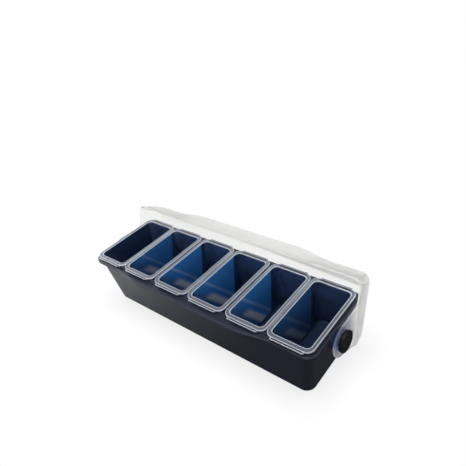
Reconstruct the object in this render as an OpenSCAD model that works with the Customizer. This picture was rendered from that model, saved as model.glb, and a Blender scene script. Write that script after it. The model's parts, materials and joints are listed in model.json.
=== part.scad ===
/* [Pans] */
// Number of lift-out pans in the row
pan_count = 6; // [2:1:6]
// Distance from one pan to the next
pan_pitch = 78; // [78:1:84]
// Height of the pans' top above the table
pan_top = 107; // [105:1:112]
// Width of a pan's opening, along the row
mouth_w = 62.6; // [56:0.1:63]
// Depth of a pan's opening, front to back
mouth_d = 126.5; // [110:0.5:127]
// Inside depth of a pan
pan_depth = 75; // [50:1:88]
// Wall of a pan
pan_wall = 1.6; // [1.2:0.1:2]
// Width of a pan's flange
flange_w = 75; // [73:0.5:76]
// Depth of a pan's flange, front to back
flange_d = 141; // [138:0.5:142]
// Thickness of a pan's flange
flange_t = 2.5; // [2:0.1:3]
// Height of the lip that hangs at a pan's front and back
lip_h = 5.6; // [4:0.1:5.8]

/* [Tub] */
// Half the tub's length at its bottom
foot_x = 219.9; // [219:0.1:221]
// Half the tub's depth at its bottom
foot_y = 58.3; // [58:0.1:60]
// Wall of the tub
tub_wall = 2.6; // [2.2:0.1:2.8]
// Height of the shelf that runs around the tub's top
shelf_z = 100.5; // [99:0.1:101]
// Half the shelf's length
shelf_x = 237; // [235.5:0.1:237.5]
// Half the shelf's depth, from the middle to the back
shelf_back = 76.5; // [75.5:0.1:77]
// Distance from the middle to the shelf's front edge, near the ends
shelf_front = 75; // [74:0.1:76]
// How far the shelf's front edge bows out in the middle
shelf_bow = 9; // [0:0.5:9]

/* [Lid] */
// Angle at which the open lid leans back, from closed flat
open_angle = 105; // [100:1:105]
// Height of the lid's roof above its pivots
roof_h = 85.5; // [85:0.1:90]
// Height of the lid's free edge above its pivots
edge_h = 39.5; // [38:0.5:42]
// Distance from the pivots to the lid's free front edge
lid_front = 81; // [80:0.5:84]
// Distance from the pivots to the lid's back edge
lid_back = 50; // [40:1:50]
// Thickness of the lid
lid_wall = 3; // [2.4:0.1:3]
// Radius of the ears that hang on the pivots
ear_r = 26.3; // [24:0.1:28]

/* [Pivots] */
// Height of the pivots above the table
pivot_z = 74.5; // [74:0.5:76]
// Diameter of the knobs
knob_d = 35; // [30:1:38]
// Thickness of the knobs
knob_t = 6; // [5:0.5:8]
// Diameter of the hub that an ear turns on
hub_d = 14; // [10:1:18]
// Diameter of the knobs' studs
stud_d = 8; // [6:1:9]

/* [Hidden] */
$fn = 64;

// Play with which each pan sits along the row, from left to right
pan_play = [1.2, -0.9, 0.4, 0.2, 1.4, 0.2];
pan_draft_w = 8.9;
pan_draft_d = 7.4;
pan_draft_r = 4;
mouth_r = 7.5;
flange_r = 12;
lip_t = 1.8;
lip_w = flange_w - 2 * flange_r + 2;

// The tub's walls lean out to these half sizes at the height of 100
wall_x = 231.5;
wall_y = 70.5;
wall_ref = 100;
tub_r = 16;
rim_t = 2.6;
skirt_z = 93;
ledge_x = 231.6;
ledge_y = 68.3;
ledge_t = 2.9;
ledge_top = pan_top - flange_t - 0.1;
bow_out = 175;
bow_in = 105;

// The lid's ends and front lean in by these amounts, from the free edge up to the roof
end_draft = 4.7;
end_rise = 4;
front_draft = 10;
lid_bow = 8;
lid_r_front = 14;
lid_r_back = 18;
roof_fillet = 4;
back_lip = 10.5;
ear_fillet = 12;

boss_r = 18;
boss_face = 234.5;
spacer_r = 17.2;
spacer_face = 239.9;
ear_in = 240.2;
ear_out = ear_in + lid_wall;
hub_end = ear_out + 0.3;
knob_in = hub_end + 0.3;
stud_tip = 227.5;
running = 0.06;

function smooth(t) = let (u = min(1, max(0, t))) u * u * (3 - 2 * u);
function bow_share(x) = smooth((bow_out - abs(x)) / (bow_out - bow_in));

// Quarter arc about [cx, cy] from the angle a
function quarter(cx, cy, r, a, n = 7) =
    [for (i = [0 : n]) [cx + r * cos(a + 90 * i / n), cy + r * sin(a + 90 * i / n)]];

// Places along the front at which the bow's outline has a point
bow_xs = [for (i = [0 : 6]) -bow_out + (bow_out - bow_in) * i / 6];
front_xs = concat(bow_xs, [for (i = [6 : -1 : 0]) -bow_xs[i]]);

// Rounded rectangle at the height z, whose front edge bows out in the middle
function ring(hx, back, front, rf, rb, z, bow = 0) = [for (p = concat(
    quarter(hx - rb, back - rb, rb, 0), quarter(rb - hx, back - rb, rb, 90),
    quarter(rf - hx, rf - front, rf, 180), [for (x = front_xs) [x, -front - bow * bow_share(x)]],
    quarter(hx - rf, rf - front, rf, -90))) [p.x, p.y, z]];

// Rounded rectangle at the height z, with no bow
function plain_ring(hx, hy, r, z) = [for (p = concat(
    quarter(hx - r, r - hy, r, -90), quarter(hx - r, hy - r, r, 0),
    quarter(r - hx, hy - r, r, 90), quarter(r - hx, r - hy, r, 180))) [p.x, p.y, z]];

// Solid through rings of equal point counts, stacked upwards
module loft(rings) {
    n = len(rings[0]);
    sides = [for (k = [0 : len(rings) - 2]) for (i = [0 : n - 1]) let (j = (i + 1) % n)
        each [[k * n + i, (k + 1) * n + i, (k + 1) * n + j], [k * n + i, (k + 1) * n + j, k * n + j]]];
    polyhedron([for (r = rings) each r],
        concat([[for (i = [0 : n - 1]) i]], [[for (i = [n - 1 : -1 : 0]) (len(rings) - 1) * n + i]], sides));
}

function tub_hx(z) = foot_x + (wall_x - foot_x) * z / wall_ref;
function tub_hy(z) = foot_y + (wall_y - foot_y) * z / wall_ref;
function tub_ring(z, inset) = ring(tub_hx(z) - inset, tub_hy(z) - inset, tub_hy(z) - inset,
    tub_r - inset, tub_r - inset, z);
function shelf_ring(z, inset) = ring(shelf_x - inset, shelf_back - inset, shelf_front - inset,
    tub_r - inset, tub_r - inset, z, shelf_bow);
function ledge_ring(z, inset) = ring(ledge_x - inset, ledge_y - inset, ledge_y - inset,
    12 - inset, 12 - inset, z);

// Turns a shape drawn along Z to lie along X, outwards at the end given by side
module at_pivot(side) translate([0, 0, pivot_z]) rotate([0, side * 90, 0]) children();

// Boss on an end wall, cut off inside the wall along the wall's own slope
module boss(side) difference() {
    at_pivot(side) translate([0, 0, stud_tip - 6]) cylinder(r = boss_r, h = boss_face - stud_tip + 6);
    multmatrix([[1, 0, side * (wall_x - foot_x) / wall_ref, 0], [0, 1, 0, 0], [0, 0, 1, 0]])
        translate([-foot_x + tub_wall / 2, -2 * boss_r, 0])
            cube([2 * foot_x - tub_wall, 4 * boss_r, wall_ref]);
}

module tub() color("#1b2430") difference() {
    union() {
        loft([tub_ring(0, 4), tub_ring(1.2, 1.2), tub_ring(4, 0), tub_ring(shelf_z - rim_t, 0),
            shelf_ring(shelf_z - rim_t, rim_t), shelf_ring(skirt_z, rim_t), shelf_ring(skirt_z, 0.4),
            shelf_ring(shelf_z - 1.5, 0), shelf_ring(shelf_z - 0.4, 0.4), shelf_ring(shelf_z, 1.5),
            ledge_ring(shelf_z, 0), ledge_ring(ledge_top - 0.5, 0), ledge_ring(ledge_top, 0.5),
            ledge_ring(ledge_top, ledge_t), ledge_ring(97, ledge_t), tub_ring(94, tub_wall),
            tub_ring(tub_wall + 3, tub_wall), tub_ring(tub_wall, tub_wall + 3)]);
        for (side = [-1, 1]) boss(side);
    }
    for (side = [-1, 1]) at_pivot(side) translate([0, 0, stud_tip - 0.3])
        cylinder(d = stud_d + 2 * running, h = boss_face);
}

function pan_x(k) = (k - (pan_count + 1) / 2) * pan_pitch + pan_play[k - 1];
// Ring of a pan's body at the depth d below its top, grown outwards from the inside face
function pan_ring(d, grow) = plain_ring(mouth_w / 2 + grow - pan_draft_w * d / pan_depth,
    mouth_d / 2 + grow - pan_draft_d * d / pan_depth, mouth_r + pan_draft_r * d / pan_depth + grow,
    pan_top - d);
function flange_ring(d, inset) = plain_ring(flange_w / 2 - inset, flange_d / 2 - inset,
    flange_r - inset, pan_top - d);

module pan(k) color("#c8d2e6", 0.5) translate([pan_x(k), 0, 0]) {
    loft([pan_ring(pan_depth + pan_wall, pan_wall - 4), pan_ring(pan_depth - 2.4, pan_wall),
        pan_ring(flange_t, pan_wall), flange_ring(flange_t, 0), flange_ring(0.6, 0), flange_ring(0, 0.6),
        pan_ring(0, 0.8), pan_ring(1, 0), pan_ring(pan_depth - 4, 0), pan_ring(pan_depth, -4)]);
    for (side = [-1, 1]) translate([-lip_w / 2, side * (flange_d - lip_t) / 2 - lip_t / 2, pan_top - lip_h])
        cube([lip_w, lip_t, lip_h - 0.7]);
}

// Height of the shell's free edge: level at the ends and front, and rising around the back corners
function edge_at(y) = edge_h + (roof_h - back_lip - edge_h) * max(0, y - lid_back + lid_r_back) / lid_r_back;
function lid_share(b) = max(0, b - edge_h - end_rise) / (roof_h - edge_h - end_rise);
// Ring of the lid's shell, drawn closed and flat, at the height b above the pivots
function lid_ring(b, inset) = let (s = lid_share(b)) [for (p = ring(ear_out - end_draft * s - inset,
    lid_back - inset, lid_front - front_draft * s - inset, lid_r_front - inset, lid_r_back - inset, b,
    lid_bow * s)) [p.x, p.y, b > edge_h + end_rise ? b
        : b - edge_h + edge_at(p.y * lid_back / (lid_back - inset))]];
function lid_roof(top, inset, f) = [for (i = [0 : 3]) let (a = 90 * i / 3)
    lid_ring(top - f + f * sin(a), inset + f * (1 - cos(a)))];
function backwards(list) = [for (i = [len(list) - 1 : -1 : 0]) list[i]];

// Half-width of the ear where it meets the shell, towards the front and the back
ear_front = 37;
ear_back = lid_back - lid_r_back;
// Point where a line from p touches the ear's round end, on the side s
function tangent(p, s) = let (a = atan2(p.y, p.x) + s * acos(ear_r / norm(p))) ear_r * [cos(a), sin(a)];
ear_root = [ear_front, edge_h];
ear_touch = tangent(ear_root, -1);
ear_lean = atan2(ear_root.x - ear_touch.x, ear_root.y - ear_touch.y);
fillet_c = [ear_front + ear_fillet * (1 / cos(ear_lean) - tan(ear_lean)), edge_h - ear_fillet];

// Outline of an ear: x runs to the front of the closed lid and y upwards
module ear_outline() {
    circle(r = ear_r);
    polygon([[0, 0], ear_touch, ear_root, [ear_front, edge_h + end_rise / 2],
        [-ear_back, edge_h + end_rise / 2], [-ear_back, edge_h], tangent([-ear_back, edge_h], 1)]);
    difference() {
        polygon([ear_root - [1, 0], ear_root + [-1, end_rise / 2], [fillet_c.x, edge_h + end_rise / 2],
            [fillet_c.x, edge_h], fillet_c - ear_fillet * [cos(ear_lean), -sin(ear_lean)]]);
        translate(fillet_c) circle(r = ear_fillet);
    }
}

// The lid about its pivots, closed and flat
module flat_lid() difference() {
    union() {
        loft(concat(backwards(lid_roof(roof_h - lid_wall, lid_wall, roof_fillet / 2)),
            [lid_ring(edge_h + end_rise, lid_wall), lid_ring(edge_h, lid_wall),
             lid_ring(edge_h, 0), lid_ring(edge_h + end_rise, 0)],
            lid_roof(roof_h, 0, roof_fillet)));
        for (x = [ear_in, -ear_out]) translate([x, 0, 0]) rotate([90, 0, 90])
            linear_extrude(lid_wall) mirror([1, 0]) ear_outline();
    }
    for (side = [-1, 1]) rotate([0, side * 90, 0]) translate([0, 0, ear_in - 1])
        cylinder(d = hub_d + 2 * running, h = lid_wall + 2);
}

module lid() color("#eef0ef", 0.85) translate([0, 0, pivot_z]) rotate([-open_angle, 0, 0]) flat_lid();

module spacer(side) color("#1d3f7a") at_pivot(side) difference() {
    union() {
        translate([0, 0, boss_face]) cylinder(r = spacer_r, h = spacer_face - boss_face);
        translate([0, 0, boss_face]) cylinder(d = hub_d, h = hub_end - boss_face);
    }
    translate([0, 0, boss_face - 1]) cylinder(d = stud_d + 2 * running, h = hub_end - boss_face + 2);
}

module stud(side) color("silver") at_pivot(side) translate([0, 0, stud_tip])
    cylinder(d = stud_d, h = knob_in + knob_t / 2 - stud_tip);

module knob(side) color("#0d0e12") at_pivot(side) difference() {
    translate([0, 0, knob_in]) rotate_extrude() polygon([[0, 0], [knob_d / 2 - 0.6, 0], [knob_d / 2, 0.6],
        [knob_d / 2, knob_t - 1.2], [knob_d / 2 - 0.4, knob_t - 0.4], [knob_d / 2 - 1.2, knob_t],
        [knob_d / 2 - 3, knob_t], [knob_d / 2 - 4, knob_t - 0.6], [0, knob_t - 0.6]]);
    translate([0, 0, knob_in - 1]) cylinder(d = stud_d, h = knob_t / 2 + 1);
}

tub();
pan(1);  // pan_1
pan(2);  // pan_2
pan(3);  // pan_3
pan(4);  // pan_4
pan(5);  // pan_5
pan(6);  // pan_6
lid();
spacer(-1);  // left_spacer
spacer(1);  // right_spacer
stud(-1);  // left_stud
stud(1);  // right_stud
knob(-1);  // left_knob
knob(1);  // right_knob
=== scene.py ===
"""Condiment caddy: a long navy tub, six clear lift-out pans in a row and one milky hood that tips back."""

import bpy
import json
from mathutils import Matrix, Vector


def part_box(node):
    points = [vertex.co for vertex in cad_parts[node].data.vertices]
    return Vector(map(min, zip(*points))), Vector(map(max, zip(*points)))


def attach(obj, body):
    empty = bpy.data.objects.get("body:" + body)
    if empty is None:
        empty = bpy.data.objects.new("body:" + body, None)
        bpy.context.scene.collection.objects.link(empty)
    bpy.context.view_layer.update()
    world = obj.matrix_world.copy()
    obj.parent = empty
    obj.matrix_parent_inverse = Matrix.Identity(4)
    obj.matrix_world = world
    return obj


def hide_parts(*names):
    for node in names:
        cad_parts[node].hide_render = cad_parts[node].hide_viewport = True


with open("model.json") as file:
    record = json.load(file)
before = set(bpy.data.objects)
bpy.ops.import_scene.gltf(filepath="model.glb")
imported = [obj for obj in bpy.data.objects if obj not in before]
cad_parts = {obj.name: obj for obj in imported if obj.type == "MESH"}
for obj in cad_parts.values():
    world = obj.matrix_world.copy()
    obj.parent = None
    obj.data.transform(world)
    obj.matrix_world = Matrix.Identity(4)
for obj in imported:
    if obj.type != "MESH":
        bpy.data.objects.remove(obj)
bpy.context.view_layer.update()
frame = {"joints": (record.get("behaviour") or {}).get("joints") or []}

import json
import math

import bpy
import numpy as np
from mathutils import Vector

scene = bpy.context.scene
scene.view_settings.view_transform = "Standard"

# Camera
# The photo's own viewpoint, solved from the straight edges of the tub and the pans.
# Its place is in millimetres from the middle of the tub's underside, and its turns are in degrees.
MM = 0.001
CAMERA_PLACE = (450.8, -400.2, 574.3)
CAMERA_TURNS = (56.06, 8.27, 38.44)

camera_data = bpy.data.cameras.new("photo_camera")
camera_data.sensor_width = 36.0
camera_data.lens = 34.52
camera_data.clip_start = 0.05
camera_data.clip_end = 20.0
camera = bpy.data.objects.new("photo_camera", camera_data)
scene.collection.objects.link(camera)
camera.location = Vector(CAMERA_PLACE) * MM
camera.rotation_euler = [math.radians(turn) for turn in CAMERA_TURNS]
scene.camera = camera


# Tub
# One long injection-moulded tub of dark navy plastic. Its walls lean out to a shelf with a skirt around it,
# bowed at the front. A narrow ledge stands on the shelf, and the pans' flanges hang on it.
def box_mm(node):
    """Lowest and highest corner of one of the frame's solids, in millimetres."""
    return [[round(value / MM, 2) for value in corner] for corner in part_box(node)]


tub_low, tub_high = box_mm("tub")
FOOT_X, FOOT_Y = 219.9, 58.3            # half length and half depth at the underside
END_LEAN, LONG_LEAN = 0.116, 0.122      # how far the end and long walls lean out for each 1 up
TUB_WALL, TUB_R = 2.6, 16.0
SHELF_X, SHELF_BACK, LEDGE_TOP = tub_high
SHELF_BOW, BOW_OUT, BOW_IN = 9.0, 175.0, 105.0
SHELF_FRONT = -tub_low[1] - SHELF_BOW   # at the two ends, which aren't bowed
SHELF_Z, SKIRT_Z = 100.5, 93.0
LEDGE_X, LEDGE_Y, LEDGE_R, LEDGE_T = 231.6, 68.3, 12.0, 2.9
LEDGE_FOOT, WALL_HEAD = 97.0, 94.0      # where the ledge's inside ends and the wall's inside begins


def mesh_object(name, points, faces, material, smooth_angle=35.0):
    """Object of the points in millimetres and the given faces, smooth but for creases over smooth_angle."""
    mesh = bpy.data.meshes.new(name)
    mesh.from_pydata((np.asarray(points) * MM).tolist(), [], [list(face) for face in faces])
    mesh.shade_smooth()
    mesh.set_sharp_from_angle(angle=math.radians(smooth_angle))
    mesh.materials.append(material)
    made = bpy.data.objects.new(name, mesh)
    scene.collection.objects.link(made)
    return made


def give_finishes(made, more, slots):
    """Adds more finishes after the first, and gives each face the number of its own."""
    for material in more:
        made.data.materials.append(material)
    made.data.polygons.foreach_set("material_index", np.asarray(slots, np.int32))


def skin(rows, closed=False):
    """Points and faces of the surface over rows of points (m, n, 3): each row is a closed loop.
    The ends are capped with one face each, or row m joins row 1 again when closed."""
    rows = np.asarray(rows, float)
    m, n = rows.shape[:2]
    i, j = np.meshgrid(np.arange(m if closed else m - 1), np.arange(n), indexing="ij")
    a, b = i * n + j, i * n + (j + 1) % n
    up = ((i + 1) % m) * n
    quads = np.stack([a, b, up + (j + 1) % n, up + j], -1).reshape(-1, 4).tolist()
    if not closed:
        quads += [list(range(n - 1, -1, -1)), list(range((m - 1) * n, m * n))]
    return rows.reshape(-1, 3), quads


def soften(stations, steps=4):
    """Rounds the inner corners of a profile of stations (row of numbers, reach).
    Each corner becomes a quadratic curve between the points of its two legs at its reach from it, or at 0.45
    of the leg where that is less. A row's first two numbers measure the distance."""
    rows = np.array([row for row, _ in stations], float)
    reach = np.array([distance for _, distance in stations], float)[1:-1, None]
    before, here, after = rows[:-2], rows[1:-1], rows[2:]
    back_leg, fore_leg = before - here, after - here
    back_long = np.linalg.norm(back_leg[:, :2], axis=1)[:, None] + 1e-9
    fore_long = np.linalg.norm(fore_leg[:, :2], axis=1)[:, None] + 1e-9
    start = here + back_leg / back_long * np.minimum(reach, 0.45 * back_long)
    end = here + fore_leg / fore_long * np.minimum(reach, 0.45 * fore_long)
    t = np.linspace(0, 1, steps + 1)[None, :, None]
    curve = (1 - t) ** 2 * start[:, None] + 2 * t * (1 - t) * here[:, None] + t ** 2 * end[:, None]
    return np.concatenate([rows[:1], curve.reshape(-1, rows.shape[1]), rows[-1:]])


def bow_share(x):
    """Share of the full bow at x: 1 up to BOW_IN from the middle, easing to 0 at BOW_OUT as 3u^2 - 2u^3."""
    u = np.clip((BOW_OUT - np.abs(x)) / (BOW_OUT - BOW_IN), 0, 1)
    return u * u * (3 - 2 * u)


def corner(cx, cy, r, start, steps=10):
    """Quarter arcs of radius r about (cx, cy), one a row, anticlockwise from the angle start in degrees."""
    a = np.radians(start + 90 * np.arange(steps + 1) / steps)[None, :]
    return np.stack([cx + r * np.cos(a), cy + r * np.sin(a)], -1)


def rounded_loops(rows, front_count=57, side_t=(0.33, 0.67)):
    """Loops (m, n, 3) around rounded rectangles, anticlockwise from above. Each row gives one loop's half
    length, height, half depth behind and before, corner radii before and behind, and bow. The front lies at
    minus its half depth less the bow times bow_share. side_t places the ends' points, 0 front to 1 back."""
    half_x, z, back, front, r_front, r_back, bow = (rows[:, k:k + 1] for k in range(7))
    x = np.linspace(-1, 1, front_count + 2)[None, 1:-1] * (half_x - r_front)
    front_side = np.stack([x, -front - bow * bow_share(x)], -1)
    t = np.asarray(side_t, float)[None]
    right_side = np.stack([half_x + 0 * t, (r_front - front) * (1 - t) + (back - r_back) * t], -1)
    xb = np.linspace(1, -1, 30)[None, 1:-1] * (half_x - r_back)
    back_side = np.stack([xb, back + 0 * xb], -1)
    left_side = right_side[:, ::-1] * (-1, 1)
    flat = np.concatenate([
        corner(half_x - r_back, back - r_back, r_back, 0), back_side,
        corner(r_back - half_x, back - r_back, r_back, 90), left_side,
        corner(r_front - half_x, r_front - front, r_front, 180), front_side,
        corner(half_x - r_front, r_front - front, r_front, -90), right_side], 1)
    return np.concatenate([flat, np.broadcast_to(z[..., None], flat.shape[:2] + (1,))], -1)


def moulded_skin():
    """Node group: the fine unevenness of moulded plastic, as a bump from noise over Object coordinates."""
    group = bpy.data.node_groups.new("moulded_skin", "ShaderNodeTree")
    group.interface.new_socket("Scale", in_out="INPUT", socket_type="NodeSocketFloat")
    group.interface.new_socket("Height", in_out="INPUT", socket_type="NodeSocketFloat")
    group.interface.new_socket("Normal", in_out="OUTPUT", socket_type="NodeSocketVector")
    nodes, links = group.nodes, group.links
    given, out = nodes.new("NodeGroupInput"), nodes.new("NodeGroupOutput")
    place = nodes.new("ShaderNodeTexCoord")
    noise = nodes.new("ShaderNodeTexNoise")
    noise.inputs["Detail"].default_value = 3
    bump = nodes.new("ShaderNodeBump")
    bump.inputs["Distance"].default_value = 0.0004
    links.new(place.outputs["Object"], noise.inputs["Vector"])
    links.new(given.outputs["Scale"], noise.inputs["Scale"])
    links.new(noise.outputs["Fac"], bump.inputs["Height"])
    links.new(given.outputs["Height"], bump.inputs["Strength"])
    links.new(bump.outputs["Normal"], out.inputs["Normal"])
    return group


SKIN = moulded_skin()


def finish(name, colour, roughness, grain=(900.0, 0.08), **more):
    """A finish: one Principled surface, with the fine skin at grain's scale and height on it.
    The rest sets more of the surface's inputs by name."""
    material = bpy.data.materials.new(name)
    material.use_nodes = True
    shader = material.node_tree.nodes["Principled BSDF"]
    shader.inputs["Base Color"].default_value = (*colour, 1)
    shader.inputs["Roughness"].default_value = roughness
    for key, value in more.items():
        shader.inputs[key.replace("_", " ")].default_value = value
    skin_node = material.node_tree.nodes.new("ShaderNodeGroup")
    skin_node.node_tree = SKIN
    skin_node.inputs["Scale"].default_value, skin_node.inputs["Height"].default_value = grain
    material.node_tree.links.new(skin_node.outputs["Normal"], shader.inputs["Normal"])
    return material


navy = finish("tub_navy", (0.016, 0.023, 0.040), 0.42, Specular_IOR_Level=0.4)
# The inside and the floor are bluer than the navy outside: a painted lit copy of the same plastic, for light
# that falls into the tub.
inner_painted_light = finish("tub_inside_painted_light", (0.055, 0.085, 0.17), 0.4)
floor_painted_light = finish("tub_floor_blue", (0.010, 0.03, 0.09), 0.4)


def tub_shell():
    """Rows run from the underside up the outside, over the skirt, shelf and ledge, and down the inside.
    The first and last lie in the flat underside and the flat floor, in from their edges."""
    def wall(z, inset=0.0):
        end, deep, r = FOOT_X + END_LEAN * z - inset, FOOT_Y + LONG_LEAN * z - inset, TUB_R - inset
        return [end, z, deep, deep, r, r, 0]

    def shelf(z, inset=0.0):
        back, front, r = SHELF_BACK - inset, SHELF_FRONT - inset, TUB_R - inset
        return [SHELF_X - inset, z, back, front, r, r, SHELF_BOW]

    def ledge(z, inset=0.0):
        deep, r = LEDGE_Y - inset, LEDGE_R - inset
        return [LEDGE_X - inset, z, deep, deep, r, r, 0]

    shelf_under, under_flat, floor_flat = SHELF_Z - TUB_WALL, 9, 12
    loops = rounded_loops(soften([
        (wall(0, under_flat), 0), (wall(0), 4), (wall(shelf_under), 1.2), (shelf(shelf_under, TUB_WALL), 0.5),
        (shelf(SKIRT_Z, TUB_WALL), 0.5), (shelf(SKIRT_Z), 0.7), (shelf(SHELF_Z), 1.8),
        (ledge(SHELF_Z), 0.8), (ledge(LEDGE_TOP), 0.9), (ledge(LEDGE_TOP, LEDGE_T), 0.9),
        (ledge(LEDGE_FOOT, LEDGE_T), 0.5), (wall(WALL_HEAD, TUB_WALL), 1),
        (wall(TUB_WALL, TUB_WALL), 5), (wall(TUB_WALL, floor_flat), 0)]))
    points, faces = skin(loops)
    made = mesh_object("tub_shell", points, faces, navy)
    first_on_top = int(np.argmax(loops[:, 0, 2] >= LEDGE_TOP - 0.1))
    rows_across, inside, on_floor = 5, 1, 2
    slots = np.zeros(len(faces), np.int32)
    # The inside and the floor take their painted lit blues.
    slots[(first_on_top + rows_across) * loops.shape[1]:-2] = inside
    slots[-1] = on_floor
    give_finishes(made, (inner_painted_light, floor_painted_light), slots)
    return made


tub = tub_shell()
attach(tub, "tub")
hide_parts("tub")

# Bosses
# A round boss of the same navy plastic, moulded on each end wall, carries the lid's pivot.
# Its well takes the end of the knob's stud.
hinge = next(joint for joint in frame["joints"] if joint["name"] == "lid_hinge")
PIVOT_Z = round(hinge["pos_m"][2] / MM, 2)
SIDE_NAME = {-1: "left", 1: "right"}
AROUND = np.linspace(0, 2 * np.pi, 96, endpoint=False)


def end_piece(name, points, faces, material, side):
    """Puts a piece drawn at the right end, about the pivot's axis, in its place at either end."""
    points = np.asarray(points, float) * (side, side, 1) + (0, 0, PIVOT_Z)
    return mesh_object(name, points, faces, material)


def end_boss(side):
    """Rings about the pivot's axis. The root rings follow the end wall: END_LEAN out for each 1 up."""
    ring_x = np.array([227.2, 228.4, 229.6, 231.0, 233.9, 234.3, 234.5, 234.5])
    radius = np.array([19.0, 19.0, 18.2, 18.0, 18.0, 17.8, 17.4, 4.1])
    slope = np.array([1, 1, 0.6, 0.2, 0, 0, 0, 0])
    well_x, well_r = 227.3, 4.1
    y, z = radius[:, None] * np.cos(AROUND), radius[:, None] * np.sin(AROUND)
    x = ring_x[:, None] + slope[:, None] * END_LEAN * z
    well = np.stack([well_x + 0 * AROUND, well_r * np.cos(AROUND), well_r * np.sin(AROUND)], -1)
    points, faces = skin(np.concatenate([np.stack([x, y, z], -1), well[None]]))
    return end_piece(f"{SIDE_NAME[side]}_boss", points, faces, navy, side)


for side in SIDE_NAME:
    boss = end_boss(side)
    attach(boss, "tub")

# Pans
# Six thin clear pans that lift out, each with a frosted flange around its mouth. At its front and back
# a tab with a raised rim stands out from the flange, and a plate hangs below it outside the tub's ledge.
pan_low, pan_high = box_mm("pan_1")
PAN_TOP, PAN_WALL = pan_high[2], 1.6
PAN_DEPTH = PAN_TOP - pan_low[2] - PAN_WALL
MOUTH_X, MOUTH_Y, MOUTH_R = 31.3, 63.25, 7.5    # inside half width, half depth and corner radius at the top
TAPER_X, TAPER_Y, TAPER_R = 8.9, 7.4, 4.0       # what the first two lose and the radius gains by the floor
FLANGE_X, FLANGE_Y = (pan_high[0] - pan_low[0]) / 2, pan_high[1]
FLANGE_R, FLANGE_T = 12.0, 2.5
CLEAR, FROSTED, PAINTED_EDGE, SIDE_PAINTED_LIGHT, PAINTED_SHADE_TAB, FLOOR = range(6)    # a pan's finishes, in their order on it

clear = finish("pan_clear", (0.80, 0.88, 0.98), 0.06, (300.0, 0.02), Transmission_Weight=1.0, IOR=1.49)
frosted = finish("pan_frosted_rim", (0.22, 0.25, 0.32), 0.3, (700.0, 0.05), Transmission_Weight=0.45)
# A light finish on the rounded edges of the flange, tabs and lips: a painted highlight where those edges
# catch the light.
edge_painted_highlight = finish("pan_bright_edge", (0.78, 0.83, 0.92), 0.25, Transmission_Weight=0.25)
# Clear plastic tinted dark navy for the tabs and lips: painted shade for the dark lines between their bright
# edges.
tab_painted_shade = finish("pan_tab_painted_shade", (0.035, 0.055, 0.10), 0.3, (300.0, 0.03), Transmission_Weight=0.85)
# The pan's floor and its low fillet, dark navy and nearly matte: painted shade on the clear plastic.
floor_painted_shade = finish("pan_floor_painted_shade", (0.012, 0.026, 0.062), 0.45, (300.0, 0.03), Specular_IOR_Level=0.15)


class Shading:
    """Adds nodes to a material and hands back their output sockets. x, y and z are Object coordinates."""

    def __init__(self, material):
        self.nodes, self.links = material.node_tree.nodes, material.node_tree.links
        self.shader = self.nodes["Principled BSDF"]
        place, split = self.nodes.new("ShaderNodeTexCoord"), self.nodes.new("ShaderNodeSeparateXYZ")
        self.links.new(place.outputs["Object"], split.inputs[0])
        self.x, self.y, self.z = split.outputs

    def give(self, socket, value):
        """Links an output socket, or sets a number or a colour."""
        if isinstance(value, (float, tuple)):
            socket.default_value = (*value, 1) if isinstance(value, tuple) else value
        else:
            self.links.new(value, socket)

    def math(self, operation, first, second=0.0):
        """Result of one Math node."""
        node = self.nodes.new("ShaderNodeMath")
        node.operation = operation
        self.give(node.inputs[0], first)
        self.give(node.inputs[1], second)
        return node.outputs[0]

    def times(self, first, second):
        """Product of two values."""
        return self.math("MULTIPLY", first, second)

    def share(self, value, start, end):
        """0 at start, easing to 1 at end."""
        node = self.nodes.new("ShaderNodeMapRange")
        node.interpolation_type = "SMOOTHSTEP"
        node.inputs["From Min"].default_value, node.inputs["From Max"].default_value = start, end
        self.links.new(value, node.inputs["Value"])
        return node.outputs["Result"]

    def band(self, value, middle, half_width, core):
        """1 within core of the middle, easing to 0 at half_width from it."""
        return self.share(self.math("ABSOLUTE", self.math("SUBTRACT", value, middle)), half_width, core)

    def blend(self, colour, factor, other):
        """Colour at factor 0, turning to other at factor 1."""
        node = self.nodes.new("ShaderNodeMix")
        node.data_type = "RGBA"
        self.give(node.inputs["A"], colour)
        self.give(node.inputs["B"], other)
        self.links.new(factor, node.inputs["Factor"])
        return node.outputs["Result"]


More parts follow.
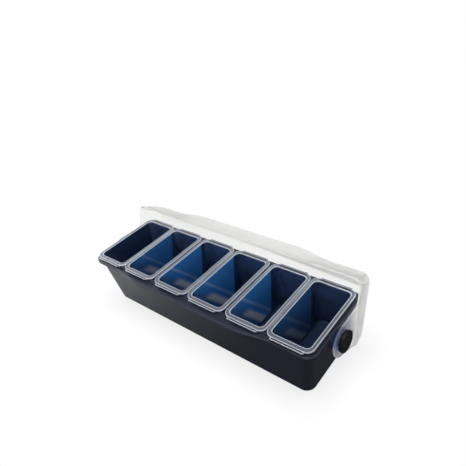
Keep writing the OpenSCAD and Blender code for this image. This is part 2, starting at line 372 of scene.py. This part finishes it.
def side_wall_painted_light():
    """Side wall of a pan, coloured with painted light and shade. Painted light, for light that comes over the
    flange and through the pan next door, turns the wall blue, up to a strip of painted shade at the back, and
    painted glints off the floors lie across it as two slanting streaks. Lower down it turns a darker painted
    blue. It fades to painted shade at the ends of the row, where no pan stands next door. Distances are in
    metres."""
    # Colours of painted shade, painted lit blue and painted shade low down, then of the two painted glints.
    dark, painted_lit_blue, painted_low_shade = (0.016, 0.032, 0.080), (0.03, 0.17, 0.48), (0.035, 0.065, 0.12)
    painted_faint_glint, painted_broad_glint = (0.5, 0.6, 0.66), (0.58, 0.63, 0.70)
    faint_share, broad_share, low_share = 0.22, 0.8, 0.55

    # A pair is where a change starts and ends. A streak has its middle, its half width and its core.
    strip_lean, strip_edge, row_end = 0.32, (0.0525, 0.0475), (0.212, 0.105)
    streak_lean, low_part, broad_part = 0.82, (0.040, 0.062), (0.022, 0.036)
    faint_streak, broad_streak = (0.029, 0.006, 0.0), (0.051, 0.013, 0.002)

    material = finish("pan_side_blue", painted_lit_blue, 0.16, (300.0, 0.03), Transmission_Weight=0.25, IOR=1.49)
    s = Shading(material)
    deep = s.math("SUBTRACT", PAN_TOP * MM, s.z)
    lit = s.share(s.math("ADD", s.y, s.times(deep, strip_lean)), *strip_edge)
    row = s.share(s.math("ABSOLUTE", s.x), *row_end)
    slant = s.math("SUBTRACT", s.times(deep, streak_lean), s.y)
    faint = s.times(s.band(slant, *faint_streak), lit)
    broad = s.times(s.band(slant, *broad_streak), s.share(deep, *broad_part))
    wall = s.blend(dark, s.times(lit, row), painted_lit_blue)
    wall = s.blend(wall, s.times(s.share(slant, *low_part), low_share), painted_low_shade)
    wall = s.blend(wall, s.times(faint, s.times(row, faint_share)), painted_faint_glint)
    wall = s.blend(wall, s.times(broad, s.times(row, broad_share)), painted_broad_glint)
    s.give(s.shader.inputs["Base Color"], wall)
    return material


side_painted_light = side_wall_painted_light()


def pan_middle(number):
    """x of a pan's middle. Each pan has slid a little along the ledge."""
    here_low, here_high = box_mm(f"pan_{number}")
    return (here_low[0] + here_high[0]) / 2


def pan_shell(number):
    """Rows run from the underside up the outside, over the flange and down the inside to the floor.
    The body narrows evenly with the depth d, and its corners grow rounder."""
    def body(d, grow):
        down = d / PAN_DEPTH
        wide, deep = MOUTH_X + grow - TAPER_X * down, MOUTH_Y + grow - TAPER_Y * down
        r = MOUTH_R + grow + TAPER_R * down
        return [wide, PAN_TOP - d, deep, deep, r, r, 0]

    def flange(d, inset):
        deep, r = FLANGE_Y - inset, FLANGE_R - inset
        return [FLANGE_X - inset, PAN_TOP - d, deep, deep, r, r, 0]

    underside, under_flat, floor_flat = PAN_DEPTH + PAN_WALL, -7, -8
    rows = soften([
        (body(underside, under_flat), 0), (body(underside, PAN_WALL), 3.4), (body(FLANGE_T, PAN_WALL), 0.8),
        (flange(FLANGE_T, 0.1), 0.5), (flange(0, 0), 0.7), (flange(0, 1.3), 0.3), (flange(0.5, 1.7), 0.4),
        (body(0.5, 1.9), 0.4), (body(0, 1.5), 0.4), (body(0, 0), 0.9), (body(PAN_DEPTH, 0), 4.5),
        (body(PAN_DEPTH, floor_flat), 0)])
    loops = rounded_loops(rows, front_count=8, side_t=np.linspace(0, 1, 10)[1:-1])
    body_row, hair = loops[3], 0.3
    on_side = np.abs(body_row[:, 0]) > np.abs(body_row[:, 0]).max() - hair
    on_back = body_row[:, 1] > body_row[:, 1].max() - hair
    side_faces, back_faces = on_side & np.roll(on_side, -1), on_back & np.roll(on_back, -1)
    loops[:, :, 0] += pan_middle(number)
    points, faces = skin(loops)
    made = mesh_object(f"pan_{number}_shell", points, faces, clear)

    # The painted edge highlight covers the flange's outer and inner rims.
    bright_down, bright_out, bright_in = 2.2, 1.1, 1.35     # how far bright edges reach into the flange
    side_top, side_foot, floor_rise = 0.5, 1.0, 4.0
    depth = PAN_TOP - (loops[:-1, 0, 2] + loops[1:, 0, 2]) / 2
    reach = (loops[:-1, :, 1].max(1) + loops[1:, :, 1].max(1)) / 2
    inside = np.arange(len(depth)) > len(depth) // 2
    band = np.where(depth < FLANGE_T + 0.2, FROSTED, CLEAR)
    band[(depth < bright_down) & ((reach > FLANGE_Y - bright_out) | (reach < MOUTH_Y + bright_in))] = PAINTED_EDGE
    slots = np.repeat(band[:, None], len(on_side), 1)
    # The side walls take the painted light and shade.
    side_rows = inside & (depth > side_top) & (depth < PAN_DEPTH - side_foot)
    slots[side_rows[:, None] & side_faces[None]] = SIDE_PAINTED_LIGHT
    # The floor and the wall just above it take the painted shade.
    slots[inside & (depth > PAN_DEPTH - floor_rise)] = FLOOR
    # The back tabs on the flange take the painted shade.
    slots[(band == FROSTED)[:, None] & back_faces[None]] = PAINTED_SHADE_TAB
    slots = np.append(slots, [CLEAR, FLOOR])
    give_finishes(made, (frosted, edge_painted_highlight, side_painted_light, tab_painted_shade, floor_painted_shade), slots)
    return made


def pan_lip(number, end):
    """Lip at the front (end = -1) or back (end = 1). A profile of (out, up) is carried along the row, and
    shrinks towards its middle at both ends. The lip is tinted dark as painted shade, and the tab's rim and
    both ends take the painted edge highlight."""
    profile = np.array([
        [0, -1.1], [4.0, -1.1], [4.1, -0.8], [4.3, -0.65], [4.9, -0.65], [5.15, -0.8], [5.2, -1.1],
        [5.2, -2.0], [4.9, -2.2], [2.0, -2.2], [1.8, -2.5], [1.8, -5.4], [1.5, -5.7], [0.3, -5.7], [0, -5.4]])
    middle = np.array([0.9, -2.0])
    along = np.array([-26.5, -26.3, -25.6, 25.6, 26.3, 26.5])
    shrink = np.array([0.86, 0.96, 1, 1, 0.96, 0.86])[:, None, None]
    root_y, first_bright, after_bright, straight = 68.6, 1, 8, 2
    section = middle + (profile[None] - middle) * shrink
    x = np.broadcast_to(along[:, None], section.shape[:2]) + pan_middle(number)
    points, faces = skin(np.stack([x, end * (root_y + section[..., 0]), PAN_TOP + section[..., 1]], -1))
    if end > 0:
        faces = [face[::-1] for face in faces]
    made = mesh_object(f"pan_{number}_{'back' if end > 0 else 'front'}_lip", points, faces, tab_painted_shade)
    # Slot 1 is the painted edge highlight, on the tab's rim and at both ends.
    plain, bright = 0, 1
    slots = np.full((len(along) - 1, len(profile)), bright, np.int32)
    slots[straight] = plain
    slots[straight, first_bright:after_bright] = bright
    give_finishes(made, (edge_painted_highlight,), np.append(slots, [bright, bright]))
    return made


for number in range(1, 7):
    shell = pan_shell(number)
    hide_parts(f"pan_{number}")
    for piece in (shell, pan_lip(number, -1), pan_lip(number, 1)):
        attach(piece, f"pan_{number}")

# Lid
# One hood of milky translucent plastic: a flat roof, a front wall, two end walls and a short lip behind.
# Each end wall runs down into a tapered ear that hangs on the pivot, so the whole hood tips back.
OPEN_ANGLE = 105.0                      # how far the open lid leans back from closed flat, in degrees
LID_X = box_mm("lid")[1][0]
LID_FRONT, LID_BACK, LID_WALL = 81.0, 50.0, 3.0
ROOF_H, FREE_EDGE, BACK_LIP = 85.5, 39.5, 10.5
LID_R_FRONT, LID_R_BACK, LID_BOW = 14.0, 18.0, 8.0
END_DRAFT, FRONT_DRAFT, DRAFT_FROM = 4.7, 10.0, 43.5
EAR_R, EAR_FRONT, EAR_FILLET, BORE_R = 26.3, 37.0, 12.0, 7.06
EAR_BACK = LID_BACK - LID_R_BACK


def lid_plastic():
    """Milky plastic of the hood, darker in the ears, where the tub behind shows through.
    The ears' tint is full up to one distance from the pivots and gone at another, in metres."""
    milk, ear_tint = (0.95, 0.95, 0.94), (0.70, 0.73, 0.77)
    full_tint, no_tint = 0.027, 0.046
    material = finish("lid_milky", milk, 0.34, (250.0, 0.0), Transmission_Weight=0.9, IOR=1.14)
    s = Shading(material)
    height = s.math("SUBTRACT", s.z, PIVOT_Z * MM)
    radius = s.math("SQRT", s.math("ADD", s.times(s.y, s.y), s.times(height, height)))
    s.give(s.shader.inputs["Base Color"], s.blend(milk, s.share(radius, no_tint, full_tint), ear_tint))
    return material


milky = lid_plastic()


def on_pivots(points):
    """Turns points drawn on the closed flat lid, with z measured from its pivots, back to the open lid."""
    a = math.radians(-OPEN_ANGLE)
    x, y, z = np.moveaxis(points, -1, 0)
    return np.stack([x, y * math.cos(a) - z * math.sin(a), y * math.sin(a) + z * math.cos(a) + PIVOT_Z], -1)


def ear_line():
    """(y, height) along an ear's lower outline from front to back: a fillet, a slanted front that touches
    the round end, the round end about the pivot, and a slanted back."""
    root, heel = np.array([EAR_FRONT, FREE_EDGE]), np.array([-EAR_BACK, FREE_EDGE])
    first = math.atan2(root[1], root[0]) - math.acos(EAR_R / np.linalg.norm(root))
    last = math.atan2(heel[1], heel[0]) + math.acos(EAR_R / np.linalg.norm(heel)) - 2 * math.pi
    touch = EAR_R * np.array([math.cos(first), math.sin(first)])
    lean = math.atan2(root[0] - touch[0], root[1] - touch[1])
    out = EAR_FILLET * (1 / math.cos(lean) - math.tan(lean))
    arc = np.linspace(math.pi / 2, math.pi - lean, 9)
    bend = EAR_FILLET * np.stack([np.cos(arc), np.sin(arc)], -1)
    fillet = (EAR_FRONT + out, FREE_EDGE - EAR_FILLET) + bend
    turn = np.linspace(first, last, 40)
    end = EAR_R * np.stack([np.cos(turn), np.sin(turn)], -1)
    along = np.linspace(0, 1, 7)[1:-1, None]
    front = fillet[-1] + (end[0] - fillet[-1]) * along
    back = end[-1] + (heel - end[-1]) * along
    return np.concatenate([fillet, front, end, back]) * (-1, 1)


def hood():
    """Rows run down the inside from the roof, around the free edge and up the outside. A row's last two
    numbers are its share of the free edge's rise towards the back and of the ears' drop, and both are added
    to the loops' height. The first and last rows lie in the flat roof, in from its edge."""
    line = ear_line()

    def wall(height, inset, rise=0, drop=0):
        up = min(1, max(0, (height - DRAFT_FROM) / (ROOF_H - DRAFT_FROM)))
        end, front = LID_X - END_DRAFT * up, LID_FRONT - FRONT_DRAFT * up
        return [end - inset, height, LID_BACK - inset, front - inset, LID_R_FRONT - inset, LID_R_BACK - inset,
                LID_BOW * up, rise, drop]

    ceiling, over_edge, roof_flat = ROOF_H - LID_WALL, FREE_EDGE + 1.4, 15
    rows = soften([
        (wall(ceiling, roof_flat), 0), (wall(ceiling, LID_WALL), 2.2), (wall(DRAFT_FROM, LID_WALL, 1), 0),
        (wall(over_edge, LID_WALL, 1, 1), 0), (wall(FREE_EDGE, LID_WALL, 1, 1), 1.1),
        (wall(FREE_EDGE, 0, 1, 1), 1.1), (wall(over_edge, 0, 1, 1), 0), (wall(DRAFT_FROM, 0, 1), 0),
        (wall(ROOF_H, 0), 4.5), (wall(ROOF_H, roof_flat), 0)])
    start = LID_R_FRONT - LID_FRONT
    side_t = (line[:, 0] - start) / (EAR_BACK - start)
    loops = rounded_loops(rows, front_count=73, side_t=side_t)
    outer_edge = loops[int(np.argmax(rows[:, 8] * (rows[:, 0] > LID_X - 0.2)))]
    y = outer_edge[:, 1]
    rise = (ROOF_H - BACK_LIP - FREE_EDGE) * np.clip((y - EAR_BACK) / LID_R_BACK, 0, 1)
    in_ear = (np.abs(outer_edge[:, 0]) > LID_X - 0.1) & (y > line[0, 0]) & (y < EAR_BACK)
    drop = np.where(in_ear, np.interp(y, line[:, 0], line[:, 1]) - FREE_EDGE, 0)
    loops[:, :, 2] += rows[:, 7:8] * rise + rows[:, 8:9] * drop
    points, faces = skin(on_pivots(loops))
    return mesh_object("lid_hood", points, faces, milky, 28)


def rings(profile, around, start=0.0):
    """Rows of points from a profile of (distance past start, radius) turned about +X."""
    x, r = np.asarray(profile, float).T[:, :, None]
    return np.stack([start + x + 0 * around, r * np.cos(around), r * np.sin(around)], -1)


def bore_ears(hooded):
    """Cuts the round holes that turn on the spacers' hubs, one through both ears."""
    around, past_ears = np.linspace(0, 2 * np.pi, 128, endpoint=False), 260
    points, faces = skin(rings([(-past_ears, BORE_R), (past_ears, BORE_R)], around))
    cutter = mesh_object("ear_cutter", points + (0, 0, PIVOT_Z), faces, milky)
    cut = hooded.modifiers.new("ear_bores", "BOOLEAN")
    cut.operation, cut.solver, cut.object = "DIFFERENCE", "EXACT", cutter
    bpy.context.view_layer.objects.active = hooded
    bpy.ops.object.modifier_apply(modifier=cut.name)
    bpy.data.objects.remove(cutter, do_unlink=True)


lid = hood()
bore_ears(lid)
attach(lid, "lid")
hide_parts("lid")

# Spacers
# A ring of blue plastic at each end holds the lid's ear off the tub's boss.
# Its hub passes through the ear, which turns on it.
SPACER_X = box_mm("right_spacer")[0][0]
blue = finish("spacer_blue", (0.012, 0.07, 0.30), 0.3)


def spacer(side):
    """Profile of (distance out from the boss, radius) that closes on itself around the bore."""
    profile = [
        (0, 4.06), (0, 16.6), (0.4, 17.1), (0.9, 17.2), (4.5, 17.2), (5.1, 17.0), (5.4, 16.5), (5.4, 7.4),
        (5.6, 7.0), (8.7, 7.0), (9.0, 6.7), (9.0, 4.06)]
    points, faces = skin(rings(profile, AROUND, SPACER_X), closed=True)
    return end_piece(f"{SIDE_NAME[side]}_spacer_ring", points, faces, blue, side)


for side in SIDE_NAME:
    ring = spacer(side)
    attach(ring, "tub")
    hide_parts(f"{SIDE_NAME[side]}_spacer")

# Studs
# A steel stud with a rolled thread runs through each spacer into the boss.
# The knob is moulded on its other end.
steel = finish("stud_steel", (0.55, 0.55, 0.57), 0.35, Metallic=1.0)


def stud(side):
    """The radius is less by the thread's depth times 1 plus the cosine of one turn a pitch along the axis,
    less the angle around it. The thread fades out at both ends, and the tip is chamfered."""
    tip, head, thread_end, pitch = 227.6, 246.5, 243.6, 1.25
    outer_r, thread_depth, chamfer = 3.98, 0.22, 0.7
    fade_out, fade_in, chamfer_long = 0.8, 0.6, 0.8
    x = np.linspace(tip, head, 190)[:, None]
    a = np.linspace(0, 2 * np.pi, 48, endpoint=False)[None]
    depth = thread_depth * np.clip((thread_end - x) / fade_out, 0, 1) * np.clip((x - tip) / fade_in, 0, 1)
    thread = depth * (1 + np.cos(2 * np.pi * x / pitch - a))
    r = outer_r - thread - chamfer * np.clip((tip + chamfer_long - x) / chamfer_long, 0, 1)
    points, faces = skin(np.stack([x + 0 * a, r * np.cos(a), r * np.sin(a)], -1))
    return end_piece(f"{SIDE_NAME[side]}_threaded_stud", points, faces, steel, side)


for side in SIDE_NAME:
    rod = stud(side)
    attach(rod, f"{SIDE_NAME[side]}_knob")
    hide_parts(f"{SIDE_NAME[side]}_stud")

# Knobs
# A round hand knob of black plastic, moulded on each stud, keeps the lid's ear on the hub.
# Its back is flat, and its face is dished inside a rounded rim.
KNOB_X = box_mm("right_knob")[0][0]
black = finish("knob_black", (0.006, 0.006, 0.009), 0.38, Specular_IOR_Level=0.25)


def knob(side):
    """Profile of (distance out from the flat back, radius), turned about the pivot's axis."""
    profile = [
        (0, 3.98), (0, 16.7), (0.3, 17.2), (0.9, 17.5), (4.4, 17.5), (5.2, 17.3), (5.75, 16.8), (6.0, 16.1),
        (6.0, 15.2), (5.75, 14.5), (5.45, 13.8), (5.3, 12.5), (5.35, 0.4)]
    points, faces = skin(rings(profile, AROUND, KNOB_X))
    return end_piece(f"{SIDE_NAME[side]}_hand_knob", points, faces, black, side)


for side in SIDE_NAME:
    grip = knob(side)
    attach(grip, f"{SIDE_NAME[side]}_knob")
    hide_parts(f"{SIDE_NAME[side]}_knob")

# Floor and background
# A wide floor that the camera sees as plain white, with a soft shadow close around the object. For the
# lamps' light it is pale at the left and dark at the right, which keeps the tub's right side nearly black.
FLOOR_HALF, FLOOR_Z = 3000.0, -0.4
GLOSS_SHARE = 0.08                      # part of the white background that gloss reflects
SHADOW_REACH, SHADOW_LEVEL = 0.05, 0.7  # in metres, and as a share of the floor's white
PALE, PALE_X, DARK, DARK_X = 0.95, -0.35, 0.02, 0.15
AMBIENT = 0.12                          # the surroundings' light on the object, as a share of white


def background_rays(nodes, links):
    """1 for camera and see-through rays, GLOSS_SHARE for glossy rays and 0 for all others."""
    path = nodes.new("ShaderNodeLightPath")
    gloss, through, seen = (nodes.new("ShaderNodeMath") for _ in range(3))
    gloss.operation, through.operation, seen.operation = "MULTIPLY", "MAXIMUM", "MAXIMUM"
    gloss.inputs[1].default_value = GLOSS_SHARE
    links.new(path.outputs["Is Glossy Ray"], gloss.inputs[0])
    links.new(path.outputs["Is Camera Ray"], through.inputs[0])
    links.new(path.outputs["Is Transmission Ray"], through.inputs[1])
    links.new(gloss.outputs[0], seen.inputs[0])
    links.new(through.outputs[0], seen.inputs[1])
    return seen.outputs[0]


def white_floor():
    """Background rays meet a white glow that is weaker where the object hides the sky. Light meets a matte
    colour that eases from PALE at PALE_X to DARK at DARK_X, in metres."""
    material = bpy.data.materials.new("white_floor")
    material.use_nodes = True
    nodes, links = material.node_tree.nodes, material.node_tree.links
    nodes.clear()
    out, mix = nodes.new("ShaderNodeOutputMaterial"), nodes.new("ShaderNodeMixShader")
    matte, glow = nodes.new("ShaderNodeBsdfDiffuse"), nodes.new("ShaderNodeEmission")
    open_sky, shadow = nodes.new("ShaderNodeAmbientOcclusion"), nodes.new("ShaderNodeMapRange")
    open_sky.inputs["Distance"].default_value = SHADOW_REACH
    shadow.inputs["To Min"].default_value = SHADOW_LEVEL
    links.new(open_sky.outputs["AO"], shadow.inputs["Value"])
    links.new(shadow.outputs["Result"], glow.inputs["Strength"])
    place, split = nodes.new("ShaderNodeTexCoord"), nodes.new("ShaderNodeSeparateXYZ")
    ramp = nodes.new("ShaderNodeMapRange")
    for key, value in (("From Min", PALE_X), ("From Max", DARK_X), ("To Min", PALE), ("To Max", DARK)):
        ramp.inputs[key].default_value = value
    ramp.interpolation_type = "SMOOTHSTEP"
    links.new(place.outputs["Object"], split.inputs[0])
    links.new(split.outputs["X"], ramp.inputs["Value"])
    links.new(ramp.outputs["Result"], matte.inputs["Color"])
    glow.inputs["Color"].default_value = (1, 1, 1, 1)
    links.new(background_rays(nodes, links), mix.inputs[0])
    links.new(matte.outputs[0], mix.inputs[1])
    links.new(glow.outputs[0], mix.inputs[2])
    links.new(mix.outputs[0], out.inputs["Surface"])
    return material


floor_corners = [(x * FLOOR_HALF, y * FLOOR_HALF, FLOOR_Z) for x, y in ((-1, -1), (1, -1), (1, 1), (-1, 1))]
floor = mesh_object("floor", floor_corners, [(0, 1, 2, 3)], white_floor())

world = bpy.data.worlds.new("studio")
world.use_nodes = True
world_nodes, world_links = world.node_tree.nodes, world.node_tree.links
sky = world_nodes["Background"]
sky.inputs["Color"].default_value = (1, 1, 1, 1)
level = world_nodes.new("ShaderNodeMapRange")
level.inputs["To Min"].default_value = AMBIENT
level.inputs["To Max"].default_value = 1.0
world_links.new(background_rays(world_nodes, world_links), level.inputs["Value"])
world_links.new(level.outputs["Result"], sky.inputs["Strength"])
scene.world = world


# Lights
# Five soft square lamps: one overhead, two at the left that give the tub its grey sheen, a fill before it
# and a weak one at the right end. Places are in metres and powers in watts.
def softbox(name, place, aim, size, power):
    """Square area light at place, facing aim."""
    lamp = bpy.data.lights.new(name, "AREA")
    lamp.size, lamp.energy = size, power
    stand = bpy.data.objects.new(name, lamp)
    stand.location = place
    stand.rotation_euler = (Vector(aim) - Vector(place)).to_track_quat("-Z", "Y").to_euler()
    scene.collection.objects.link(stand)


softbox("overhead", (0.1, -0.2, 1.5), (0, 0, 0), 1.0, 11)
softbox("left_back", (-1.4, 0.35, 0.6), (-0.2, 0, 0.1), 0.6, 5)
softbox("front_fill", (0.8, -1.5, 0.45), (0, 0, 0.05), 1.0, 7)
softbox("left_front", (-1.1, -0.5, 0.6), (-0.2, 0, 0.05), 0.6, 8)
softbox("right_end", (1.3, 0.4, 0.5), (0.24, 0, 0.06), 0.7, 4)
